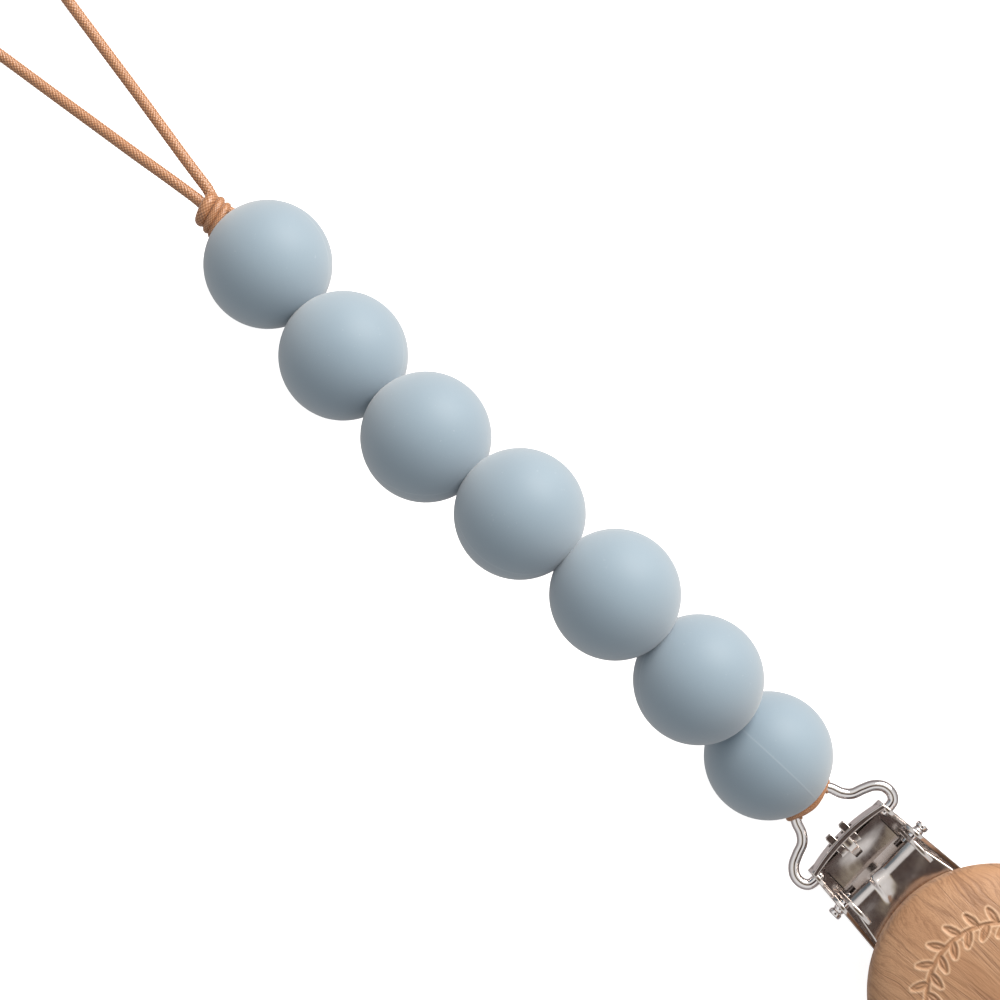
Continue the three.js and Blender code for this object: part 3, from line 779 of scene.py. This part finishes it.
def block(x0, x1, y0, y1, z0, z1):
    outline = [(x0, y0), (x1, y0), (x1, y1), (x0, y1)]
    lower = [(*p, z0) for p in outline]
    upper = [(*p, z1) for p in outline]
    return np.array(lower + upper, dtype=float), closed_grid(2, 4)


def combine(base, others, operation):
    """Joins or cuts solids into the base with exact booleans."""
    for other in others:
        modifier = base.modifiers.new(operation.lower(), "BOOLEAN")
        modifier.operation = operation
        modifier.solver = "EXACT"
        modifier.object = other
        bpy.context.view_layer.update()
        evaluated = base.evaluated_get(bpy.context.evaluated_depsgraph_get())
        mesh = bpy.data.meshes.new_from_object(evaluated)
        base.modifiers.clear()
        base.data = mesh
        bpy.data.objects.remove(other)


def finish_solid(base, name, body, replaced, material):
    """Turns a solid into a shown piece with crisp edges and flat faces that stay flat."""
    base.name = name
    base.data.name = name
    base.data.transform(Matrix.Translation(Vector(CLIP_SHIFT * MM)))
    base.data.materials.clear()
    base.data.materials.append(material)
    base.data.shade_smooth()
    base.data.set_sharp_from_angle(angle=math.radians(32))
    weighted = base.modifiers.new("weighted", "WEIGHTED_NORMAL")
    weighted.keep_sharp = True
    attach(base, body)
    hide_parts(*replaced)


def half_width(x):
    return FRAME_HALF + (x - PIVOT[0]) * math.tan(FLARE)


def corner_arc(x, y, radius, start, stop):
    return arc(x, y, radius, start, stop, 12)


def side_wall(side):
    wall = [(FOOT[0] - 1.2, 0.0)]
    wall += arc(FOOT[0], FOOT[1], 2.0, 126.9, 50.4, 20)
    wall += [(PIVOT[0] - 1.75, PIVOT[1] - 0.7)]
    wall += arc(PIVOT[0], PIVOT[1], 1.9, 180, 54, 24)
    wall += [(12.5, 2.8), (FRAME_LENGTH - 4, 2.4), (FRAME_LENGTH - 2.2, 0.0)]
    y0 = FRAME_HALF - SHEET if side > 0 else -FRAME_HALF
    points, faces = plate(wall, y0, y0 + SHEET, "XZ", 0.14)
    outer = side * FRAME_HALF
    turned = points.copy()
    angle = side * FLARE
    dx, dy = points[:, 0] - PIVOT[0], points[:, 1] - outer
    turned[:, 0] = PIVOT[0] + dx * math.cos(angle) - dy * math.sin(angle)
    turned[:, 1] = outer + dx * math.sin(angle) + dy * math.cos(angle)
    return turned, faces


def make_frame():
    start, end, corner = 0.1, FRAME_LENGTH, 3.0
    near, far = half_width(start), half_width(end - corner)
    base = [(start, -near), (end - corner, -far)]
    base += corner_arc(end - corner, -far + corner, corner, -90, 0)
    base += corner_arc(end - corner, far - corner, corner, 0, 90)
    base += [(start, near)]
    frame_solid = solid("clip_channel", *plate(base, 0, 0.8, "XY", 0.2))
    wall_half = near - 0.05
    ends = np.linspace(-1, 1, 33)
    outer_face = [(0.35 - 0.78 * (1 - t * t), wall_half * t) for t in ends]
    inner_face = [(x + SHEET + 0.14 * (1 - (y / wall_half) ** 2), y) for x, y in reversed(outer_face)]
    pieces = [solid("end_wall", *plate(outer_face + inner_face, 0, 4.3, "XY", 0.16))]
    pieces += [solid("side_wall", *side_wall(side)) for side in (-1, 1)]
    tongue_line = [(0.0, 3.95), *arc(0.95, 2.1, 1.85, 90, 30, 16)]
    tongue = strip_outline(spread_line(tongue_line[:2], 0.2)[:-1] + tongue_line[1:], 0.45)
    pieces.append(solid("tongue", *plate(tongue, TONGUE_Y - 0.55, TONGUE_Y + 0.55, "XZ", 0.1)))
    lip = half_width(FRAME_LENGTH) - 3.3
    lip_outline = [(-lip, 0.0), (lip, 0.0), (lip, 1.5), (lip - 0.4, 1.9), (-lip + 0.4, 1.9), (-lip, 1.5)]
    lip_points, lip_faces = plate(lip_outline, 0, SHEET, "XY", 0.12)
    lip_points = np.column_stack([FRAME_LENGTH - SHEET + lip_points[:, 2], lip_points[:, 0],
                                  lip_points[:, 1]])
    pieces.append(solid("jaw_lip", lip_points, lip_faces))
    combine(frame_solid, pieces, "UNION")
    cuts = []
    half = 0.5 + GAP
    for y in PRONG_PLACES:
        cuts.append(solid("slot", *block(-1, 1.1, y - half, y + half, JAW_Z - 0.75, JAW_Z + 0.75)))
    for side in (-1, 1):
        reach = side * (FOOT_END_Y - GAP + 2)
        cuts.append(solid("foot_hole", *rod(WIRE_RADIUS + GAP, (FOOT[0], reach, FOOT[1]), (0, 1, 0), 4)))
        cuts.append(solid("stud_hole", *rod(0.7 + GAP, (PIVOT[0], reach, PIVOT[1]), (0, 1, 0), 4)))
    combine(frame_solid, cuts, "DIFFERENCE")
    finish_solid(frame_solid, "clip_channel", "clip", ["clip_frame"], NICKEL)


make_frame()


# ---------------------------------------------------------------- lever
def lever_line():
    bend = arc(PIVOT[0] + 1.3, LEVER_PLATE_Z - 1.3, 1.3, 154, 90, 18)
    foot = (PIVOT[0] - 0.7, PIVOT[1] - 0.95)
    return spread_line([foot, bend[0]], 0.3)[:-1] + bend + spread_line(
        [bend[-1], (LEVER_END_X, LEVER_PLATE_Z)], 0.3)[1:]


def fade(value):
    """Smooth step from 0 to 1."""
    value = np.clip(value, 0, 1)
    return value * value * (3 - 2 * value)


def rib_height(x, y, z):
    """A stamped gusset over the bend: steep on the -Y side, sloping away on the other."""
    crest = -1.1 - 0.14 * (x - 5.6)
    steep = fade(1 + (y - crest) / 0.6)
    gentle = np.clip(1 - (y - crest) / 1.75, 0, 1)
    side = steep if y < crest else gentle
    rise = fade((x - 5.0) / 0.7)
    fall = np.clip((8.7 - x - 0.35 * max(0.0, y - crest)) / 2.9, 0, 1)
    return 0.50 * side * rise * fall * fade((z - 4.7) / 1.1)


def sheet_wave(x, y):
    """The slight unevenness of pressed sheet."""
    return 0.03 * math.sin(0.9 * x + 0.8 * y + 0.4) + 0.025 * math.sin(1.3 * y - 0.35 * x)


def make_lever():
    """Bent sheet as a grid along its mid-line and across its width, with rounded edges."""
    line = np.array(lever_line())
    along = np.gradient(line, axis=0)
    along /= np.linalg.norm(along, axis=1)[:, None]
    normal = np.stack([-along[:, 1], along[:, 0]], axis=1)
    half, t = LEVER_HALF, LEVER_THICK / 2
    r = 0.16
    flat = np.linspace(-half + r, half - r, 79)
    top = [(y, t) for y in flat]
    edge = []
    for k in range(1, 5):
        a = (math.pi / 2) * k / 4
        edge.append((half - r + r * math.sin(a), t - r + r * math.cos(a)))
    lower_edge = [(y, -h) for y, h in reversed(edge)]
    bottom = [(y, -t) for y in flat[::-1]]
    left_edge = [(-y, h) for y, h in reversed(lower_edge)]
    left_up = [(-y, h) for y, h in reversed(edge)]
    section = top + edge + lower_edge + bottom + left_edge + left_up
    points = []
    for (x, z), (nx, nz) in zip(line, normal):
        widening = np.interp(x, *zip(*LEVER_WIDE)) / LEVER_HALF
        for y, h in section:
            lift = h + rib_height(x, y, z) + sheet_wave(x, y) * fade((x - 6.5) / 1.5)
            points.append((x + nx * lift, y * widening, z + nz * lift))
    lever = solid("cam_lever", points, closed_grid(len(line), len(section)))
    ears = []
    for side in (-1, 1):
        ear = [(PIVOT[0] + 4.2, LEVER_PLATE_Z), (PIVOT[0] + 3.6, LEVER_PLATE_Z - 1.0),
               (PIVOT[0] + 1.3, PIVOT[1] - 0.55)]
        ear += arc(PIVOT[0], PIVOT[1], 1.4, -27, -180, 24)
        ear += [(PIVOT[0] - 0.7, LEVER_PLATE_Z - 0.8), (PIVOT[0] - 0.1, LEVER_PLATE_Z + 0.25),
                (PIVOT[0] + 0.9, LEVER_PLATE_Z + 0.62), (PIVOT[0] + 2.4, LEVER_PLATE_Z + 0.62),
                (PIVOT[0] + 3.6, LEVER_PLATE_Z + 0.3)]
        y0 = LEVER_HALF - SHEET if side > 0 else -LEVER_HALF
        ears.append(solid("ear", *plate(ear, y0, y0 + SHEET, "XZ", 0.14)))
    combine(lever, ears, "UNION")
    cuts = []
    for side in (-1, 1):
        cuts.append(solid("stud_hole", *rod(0.7 + GAP, (PIVOT[0], side * (LEVER_HALF - 0.5), PIVOT[1]),
                                            (0, 1, 0), 3)))
    for x in RIVET_X:
        cuts.append(solid("rivet_hole", *rod(1.2 + GAP, (x, 0, LEVER_PLATE_Z), (0, 0, 1), 3)))
    rounded = [(LEVER_END_X - 4, -LEVER_HALF - 1)]
    rounded += corner_arc(LEVER_END_X - LEVER_HALF, 0, LEVER_HALF, -90, 90)
    rounded += [(LEVER_END_X - 4, LEVER_HALF + 1), (LEVER_END_X + 2, LEVER_HALF + 1),
                (LEVER_END_X + 2, -LEVER_HALF - 1)]
    tip = tidy_outline(rounded)
    tip_points = np.vstack([np.column_stack([tip, np.full(len(tip), z)]) for z in (5.0, 8.0)])
    cuts.append(solid("tip", tip_points, closed_grid(2, len(tip))))
    combine(lever, cuts, "DIFFERENCE")
    finish_solid(lever, "cam_lever", "lever", ["lever_plate"], NICKEL)


make_lever()


def lathe(profile, segments, centre, axis):
    """Closed turned solid; the profile gives (along, radius) from axis to axis."""
    axis = unit(axis)
    first, second = orthogonal_frame(axis)
    angles = np.arange(segments) * TAU / segments
    around = np.cos(angles)[:, None] * first + np.sin(angles)[:, None] * second
    centre = np.asarray(centre, dtype=float)
    rings = profile[1:-1]
    points = [centre + axis * a + r * around for a, r in rings]
    points.append((centre + axis * profile[0][0])[None, :])
    points.append((centre + axis * profile[-1][0])[None, :])
    faces = grid_faces(len(rings), segments)
    first_pole = len(rings) * segments
    last_ring = (len(rings) - 1) * segments
    for k in range(segments):
        following = (k + 1) % segments
        faces.append((first_pole, following, k))
        faces.append((first_pole + 1, last_ring + k, last_ring + following))
    return np.vstack(points), faces


def rounded_profile(corners, radius):
    """Rounds the inner corners of an (along, radius) profile."""
    steps = 4
    profile = [corners[0]]
    for before, corner, after in zip(corners[:-2], corners[1:-1], corners[2:]):
        corner = np.array(corner, dtype=float)
        back = np.array(before, dtype=float) - corner
        ahead = np.array(after, dtype=float) - corner
        reach = min(radius, 0.45 * np.linalg.norm(back), 0.45 * np.linalg.norm(ahead))
        start = corner + unit(back) * reach
        stop = corner + unit(ahead) * reach
        for k in range(steps + 1):
            t = k / steps
            profile.append(tuple((1 - t) ** 2 * start + 2 * t * (1 - t) * corner + t * t * stop))
    profile.append(corners[-1])
    return profile


def make_studs():
    for side, name in ((-1, "left"), (1, "right")):
        collar = FRAME_HALF + GAP
        corners = [(4.3, 0), (4.3, 0.7), (collar - 0.1, 0.7), (collar + 0.1, 0.58),
                   (collar + 0.25, 0.8), (7.5, 0.8), (7.5, 0)]
        profile = rounded_profile(corners, 0.22)
        centre = np.array([PIVOT[0], 0, PIVOT[1]]) + CLIP_SHIFT
        points, faces = lathe(profile, 36, centre, (0, side, 0))
        make_object(f"stud_{name}", points, faces, "lever", [f"pivot_stud_{name}"], WIRE,
                    sharp=50)


def make_rivets():
    for index, x in enumerate(RIVET_X, start=1):
        under = LEVER_PLATE_Z - LEVER_THICK / 2 - GAP
        corners = [(under - 0.7, 0), (under - 0.62, 1.0), (under - 0.35, 1.7), (under, 1.9),
                   (under, 1.2), (DISC_BOTTOM + 2.5, 1.2), (DISC_BOTTOM + 2.5, 0)]
        profile = rounded_profile(corners, 0.14)
        points, faces = lathe(profile, 36, np.array([x, 0, 0]) + CLIP_SHIFT, (0, 0, 1))
        make_object(f"rivet_{index}", points, faces, "lever", [f"disc_rivet_{index}"], NICKEL,
                    sharp=50)


make_studs()
make_rivets()


# ---------------------------------------------------------------- jaw plate and insert
def jaw_half(x):
    widening = max(0.0, x - JAW_WIDENS_X) / (JAW_TIP[0] + 1 - JAW_WIDENS_X)
    return JAW_HALF + (JAW_TIP_HALF - JAW_HALF) * widening


def make_jaw():
    """Dished sheet: the middle sits a little lower than the sides, as pressed plates do."""
    line = spread_line([(0.98, JAW_Z), (JAW_STEP_X, JAW_Z), (JAW_STEP_X + 1.6, JAW_TIP[1]), JAW_TIP], 0.35)
    line = np.array(line)
    t, r = SHEET / 2, 0.13
    across = np.linspace(-1, 1, 49)
    section = [(u, t) for u in across] + [(1.0, 0.0)] + [(u, -t) for u in across[::-1]] + [(-1.0, 0.0)]
    points = []
    for x, z in line:
        width = jaw_half(x)
        for u, h in section:
            y = u * (width - r) + (math.copysign(r, u) if abs(h) < 1e-9 else 0)
            dish = -0.22 * (1 - u * u) * fade((x - 1.2) / 2.2)
            points.append((x, y, z + h + dish + 1.2 * sheet_wave(0.8 * x, 0.8 * y) * fade((x - 1.6) / 1.5)))
    jaw = solid("jaw_spoon", points, closed_grid(len(line), len(section)))
    prongs = []
    for y in PRONG_PLACES:
        prong = [(-1.15, y - 0.48), (1.6, y - 0.5), (1.6, y + 0.5), (-1.15, y + 0.48), (-1.4, y + 0.3),
                 (-1.4, y - 0.3)]
        prongs.append(solid("prong", *plate(prong, JAW_Z - t, JAW_Z + t, "XY", 0.12)))
    combine(jaw, prongs, "UNION")
    finish_solid(jaw, "jaw_spoon", "jaw", ["jaw_plate"], NICKEL)


def make_insert():
    top = JAW_TIP[1] - SHEET / 2 - GAP
    bottom = 0.8 + GAP
    start = JAW_STEP_X + 2.2
    teeth = 4
    pitch = (JAW_TIP[0] - start) / teeth
    outline = [(start, top), (start, bottom + 0.5)]
    for k in range(teeth):
        outline.append((start + (k + 0.42) * pitch, bottom + 0.04))
        outline.append((start + (k + 0.58) * pitch, bottom + 0.04))
        outline.append((start + (k + 1) * pitch, bottom + 0.5))
    outline.append((JAW_TIP[0], top))
    half = jaw_half(start) - 0.25
    pad = solid("grip_pad", *plate(outline, -half, half, "XZ", 0.08))
    finish_solid(pad, "grip_pad", "jaw", ["jaw_insert"], INSERT)


make_jaw()
make_insert()


# ---------------------------------------------------------------- wooden disc
def leaf_strokes():
    """Short engraved strokes of a leafy garland on an arc around the disc's middle."""
    strokes = []
    ring = 8.6
    for k in range(22):
        middle = math.radians(100 + k * 7.6)
        base = np.array([ring * math.cos(middle), ring * math.sin(middle)])
        outward = base / np.linalg.norm(base)
        sideways = np.array([-outward[1], outward[0]])
        lean = outward * (1 if k % 2 else -1)
        tip = base + 1.55 * lean + 1.0 * sideways
        for bulge in (0.42, -0.42):
            middle_point = (base + tip) / 2 + bulge * np.array([-(tip - base)[1], (tip - base)[0]]) / 1.8
            t = np.linspace(0, 1, 9)[:, None]
            strokes.append((1 - t) ** 2 * base + 2 * t * (1 - t) * middle_point + t * t * tip)
    stem = np.radians(np.linspace(92, 100 + 22 * 7.6, 90))
    strokes.append(np.column_stack([ring * np.cos(stem), ring * np.sin(stem)]))
    return strokes


def stroke_distance(points, strokes):
    nearest = np.full(len(points), 99.0)
    for line in strokes:
        for a, b in zip(line[:-1], line[1:]):
            d = b - a
            t = np.clip(((points - a) @ d) / (d @ d), 0, 1)
            gap = np.linalg.norm(points - (a + t[:, None] * d), axis=1)
            nearest = np.minimum(nearest, gap)
    return nearest


def make_disc():
    rim = 2.6
    rise = DISC_HEIGHT - rim
    segments = 540
    angles = np.arange(segments) * TAU / segments
    profile = [(0.02, DISC_RADIUS * 0.4), (0.02, DISC_RADIUS - 0.8)]
    for a in np.linspace(0.15, math.pi / 2, 8):
        profile.append((0.7 * (1 - math.cos(a)) + 0.02, DISC_RADIUS - 0.8 + 0.8 * math.sin(a)))
    profile += [(z, DISC_RADIUS) for z in (1.2, 1.8, 2.3)]
    for r in np.concatenate([np.linspace(DISC_RADIUS, 12.6, 28), np.arange(12.5, 6.2, -0.1),
                             np.linspace(6.1, 0.25, 24)]):
        cosine = (r / DISC_RADIUS) ** (1 / 0.85)
        profile.append((rim + rise * math.sqrt(max(0.0, 1 - cosine * cosine)), r))
    centre = np.array([DISC_X, DISC_Y, DISC_BOTTOM])
    points = []
    for z, r in profile:
        points.append(np.column_stack([centre[0] + r * np.cos(angles), centre[1] + r * np.sin(angles),
                                       np.full(segments, centre[2] + z)]))
    points = np.vstack(points)
    plan = points[:, :2] - centre[:2]
    on_top = points[:, 2] > centre[2] + rim + 0.8
    distance = np.full(len(points), 99.0)
    distance[on_top] = stroke_distance(plan[on_top], leaf_strokes())
    groove = np.exp(-(distance / 0.17) ** 2)
    lip = np.exp(-((distance - 0.36) / 0.12) ** 2)
    points[:, 2] += 0.05 * lip - 0.20 * groove
    faces = grid_faces(len(profile), segments)
    faces.append(tuple(range(segments - 1, -1, -1)))
    top_pole = len(points)
    points = np.vstack([points, [[centre[0], centre[1], centre[2] + DISC_HEIGHT]]])
    last = (len(profile) - 1) * segments
    faces += [(top_pole, last + k, last + (k + 1) % segments) for k in range(segments)]
    disc = make_object("beech_disc", points + CLIP_SHIFT, faces, "lever", ["wood_disc"], BEECH,
                       sharp=60)
    # carve darkens the engraved grooves; carve_edge carries the painted highlight on their lips
    add_attribute(disc, "carve", np.append(groove, 0.0))
    add_attribute(disc, "carve_edge", np.append(lip, 0.0))


make_disc()


# ---------------------------------------------------------------- floor and light
def make_floor():
    mesh = bpy.data.meshes.new("floor")
    size = 3.0
    mesh.from_pydata([(-size, -size, 0), (size, -size, 0), (size, size, 0), (-size, size, 0)], [],
                     [(0, 1, 2, 3)])
    floor = bpy.data.objects.new("floor", mesh)
    bpy.context.scene.collection.objects.link(floor)
    floor.location.z = -0.02 * MM
    material, tree, shader = new_material("pale_floor")
    place = position_node(tree, (1, 1, 1))
    tree.links.new(ramp_node(tree, noise_node(tree, place, 12, 2),
                             [(0.3, (0.86, 0.86, 0.86)), (0.7, (0.90, 0.90, 0.90))]),
                   shader.inputs["Base Color"])
    shader.inputs["Roughness"].default_value = 0.9
    shader.inputs["Emission Color"].default_value = (1.0, 1.0, 1.0, 1.0)
    shader.inputs["Emission Strength"].default_value = 0.72
    mesh.materials.append(material)
    floor.visible_diffuse = False
    floor.visible_glossy = False


def area_light(name, place, aim, size, power, color):
    data = bpy.data.lights.new(name, "AREA")
    data.shape = "RECTANGLE"
    data.size, data.size_y = size
    data.energy = power
    data.color = color
    light = bpy.data.objects.new(name, data)
    light.location = Vector(place)
    direction = Vector(aim) - Vector(place)
    light.rotation_euler = direction.to_track_quat("-Z", "Y").to_euler()
    bpy.context.scene.collection.objects.link(light)


def make_world():
    """Soft light that comes a little more from +Y. Reflections see a ceiling that is dark
    along its middle, a bright band round it and greyer walls."""
    world = bpy.data.worlds.new("studio")
    bpy.context.scene.world = world
    world.use_nodes = True
    tree = world.node_tree
    tree.nodes.clear()
    output = tree.nodes.new("ShaderNodeOutputWorld")
    background = tree.nodes.new("ShaderNodeBackground")
    tree.links.new(background.outputs["Background"], output.inputs["Surface"])
    place = tree.nodes.new("ShaderNodeTexCoord")
    parts = tree.nodes.new("ShaderNodeSeparateXYZ")
    tree.links.new(place.outputs["Generated"], parts.inputs["Vector"])

    height = math_node(tree, "MULTIPLY_ADD", parts.outputs["Z"], 0.5, 0.5)
    side = math_node(tree, "MULTIPLY_ADD", parts.outputs["Y"], 0.5, 0.5)
    lighting = mix_node(
        tree, 1.0,
        ramp_node(tree, height, [(0.0, (0.70, 0.67, 0.65)), (0.5, (0.80, 0.79, 0.78)),
                                 (0.8, (0.80, 0.80, 0.80)), (1.0, (0.50, 0.50, 0.50))]),
        ramp_node(tree, side, [(0.1, (0.93, 0.92, 0.91)), (0.9, (1.0, 1.0, 1.0))]), "MULTIPLY")
    patches = noise_node(tree, place.outputs["Generated"], 9.0, 2, 0.5, 0.4)
    sideways = math_node(tree, "ABSOLUTE", parts.outputs["Y"])
    spread = math_node(tree, "MULTIPLY_ADD", patches, 0.20, sideways)
    ceiling = ramp_node(tree, spread, [(0.16, (0.070, 0.042, 0.042)), (0.21, (0.24, 0.18, 0.14)),
                                       (0.27, (0.58, 0.51, 0.38)), (0.40, (0.78, 0.74, 0.64))])
    band = ramp_node(tree, height, [
        (0.0, (0.62, 0.56, 0.56)), (0.22, (0.50, 0.46, 0.46)), (0.42, (0.30, 0.27, 0.27)),
        (0.54, (0.62, 0.60, 0.60)), (0.70, (0.90, 0.90, 0.91)), (0.86, (1.25, 1.27, 1.27)),
        (0.95, (1.1, 1.1, 1.1))])
    top = ramp_node(tree, height, [(0.965, (0, 0, 0)), (0.983, (1, 1, 1))])
    seen = mix_node(tree, top, band, ceiling)
    ray = tree.nodes.new("ShaderNodeLightPath")
    color = mix_node(tree, ray.outputs["Is Glossy Ray"], lighting, seen)
    tree.links.new(color, background.inputs["Color"])
    background.inputs["Strength"].default_value = 0.75


make_floor()
make_world()
area_light("key", (-0.12, 0.58, 0.34), (0, 0, 0), (0.45, 0.45), 6.7, (1.0, 0.94, 0.87))
bpy.context.scene.view_settings.view_transform = "Standard"
